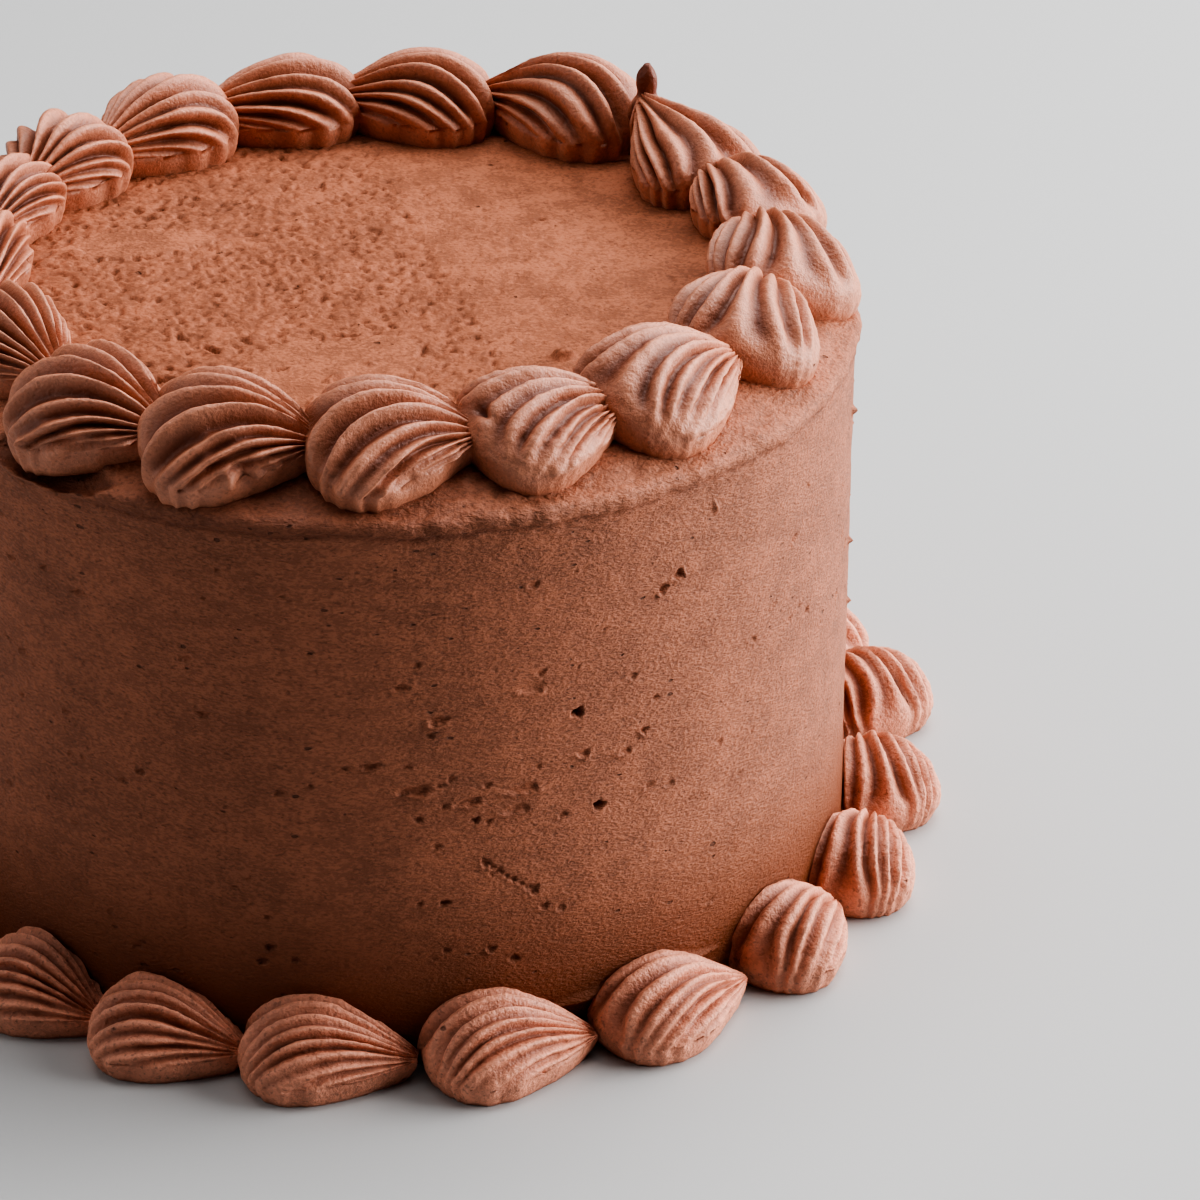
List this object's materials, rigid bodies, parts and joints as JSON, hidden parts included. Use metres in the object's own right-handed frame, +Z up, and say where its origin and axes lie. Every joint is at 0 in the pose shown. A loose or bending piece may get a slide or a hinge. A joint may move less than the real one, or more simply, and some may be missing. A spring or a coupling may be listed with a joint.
{
  "type": "layer cake",
  "caption": "Round, uncut layer cake iced in chocolate buttercream, with a border of piped shells round the top edge and another round the foot.",
  "frame": {"origin": "on the cake's axis, at the face it stands on", "axes": "+Z up along the cake's axis, -Y towards the side that is seen in the picture"},
  "size_m": [0.1809, 0.1757, 0.1105],
  "materials": {
    "chocolate_icing": "matte, finely pitted",
    "chocolate_piping": "soft satin"
  },
  "bodies": {
    "root": {"cake_body": "chocolate_icing", "top_shell_01": "chocolate_piping", "top_shell_02": "chocolate_piping", "top_shell_03": "chocolate_piping", "top_shell_04": "chocolate_piping", "top_shell_05": "chocolate_piping", "top_shell_06": "chocolate_piping", "top_shell_07": "chocolate_piping", "top_shell_08": "chocolate_piping", "top_shell_09": "chocolate_piping", "top_shell_10": "chocolate_piping", "top_shell_11": "chocolate_piping", "top_shell_12": "chocolate_piping", "top_shell_13": "chocolate_piping", "top_shell_14": "chocolate_piping", "top_shell_15": "chocolate_piping", "top_shell_16": "chocolate_piping", "top_shell_17": "chocolate_piping", "foot_shell_01": "chocolate_piping", "foot_shell_02": "chocolate_piping", "foot_shell_03": "chocolate_piping", "foot_shell_04": "chocolate_piping", "foot_shell_05": "chocolate_piping", "foot_shell_06": "chocolate_piping", "foot_shell_07": "chocolate_piping", "foot_shell_08": "chocolate_piping", "foot_shell_09": "chocolate_piping", "foot_shell_10": "chocolate_piping", "foot_shell_11": "chocolate_piping", "foot_shell_12": "chocolate_piping", "foot_shell_13": "chocolate_piping", "foot_shell_14": "chocolate_piping", "foot_shell_15": "chocolate_piping", "foot_shell_16": "chocolate_piping", "foot_shell_17": "chocolate_piping", "foot_shell_18": "chocolate_piping", "foot_shell_19": "chocolate_piping"}
  },
  "joints": []
}
